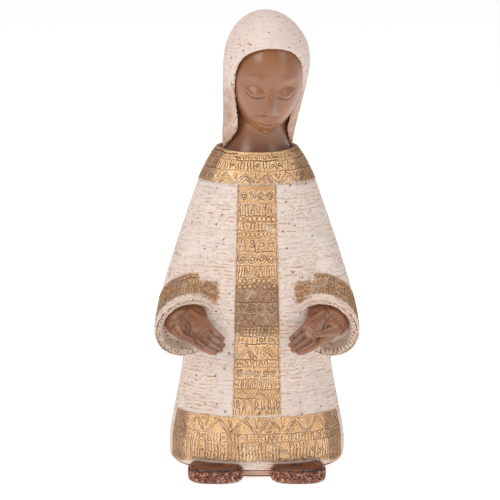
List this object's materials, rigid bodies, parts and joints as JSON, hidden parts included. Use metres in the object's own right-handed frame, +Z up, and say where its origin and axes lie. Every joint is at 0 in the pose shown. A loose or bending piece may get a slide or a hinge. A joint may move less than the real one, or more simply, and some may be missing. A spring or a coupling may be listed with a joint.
{
  "type": "madonna statue",
  "caption": "Standing robed figure of cast stone with a bowed veiled head, open hands in wide sleeves, gilded relief bands, shoes and a flat felted base.",
  "frame": {"origin": "on the floor, under the middle of the figure's bounding box", "axes": "+Z up; the figure faces -Y; its left arm is on the +X side"},
  "size_m": [0.1316, 0.1047, 0.3],
  "materials": {
    "white_stone": "off-white painted cast stone with brown patina in the tool marks",
    "gilding": "worn gold paint over relief, brown in the recesses",
    "brown_stone": "smooth brown stained cast stone, waxed to a satin shine",
    "shoe_glaze": "mottled red-brown stain, satin",
    "dowel_wood": "plain beech",
    "felt": "thin brown felt"
  },
  "bodies": {
    "root": {"gown_body": "white_stone", "veil": "white_stone", "underskirt_base": "white_stone", "right_sleeve_lining": "white_stone", "left_sleeve_lining": "white_stone", "collar_band": "gilding", "front_band": "gilding", "hem_band": "gilding", "right_cuff_band": "gilding", "left_cuff_band": "gilding", "head": "brown_stone", "right_hand": "brown_stone", "left_hand": "brown_stone", "right_shoe": "shoe_glaze", "left_shoe": "shoe_glaze", "neck_dowel": "dowel_wood", "base_dowel": "dowel_wood", "right_wrist_dowel": "dowel_wood", "left_wrist_dowel": "dowel_wood", "right_shoe_pin": "dowel_wood", "left_shoe_pin": "dowel_wood", "base_felt": "felt"}
  },
  "joints": []
}
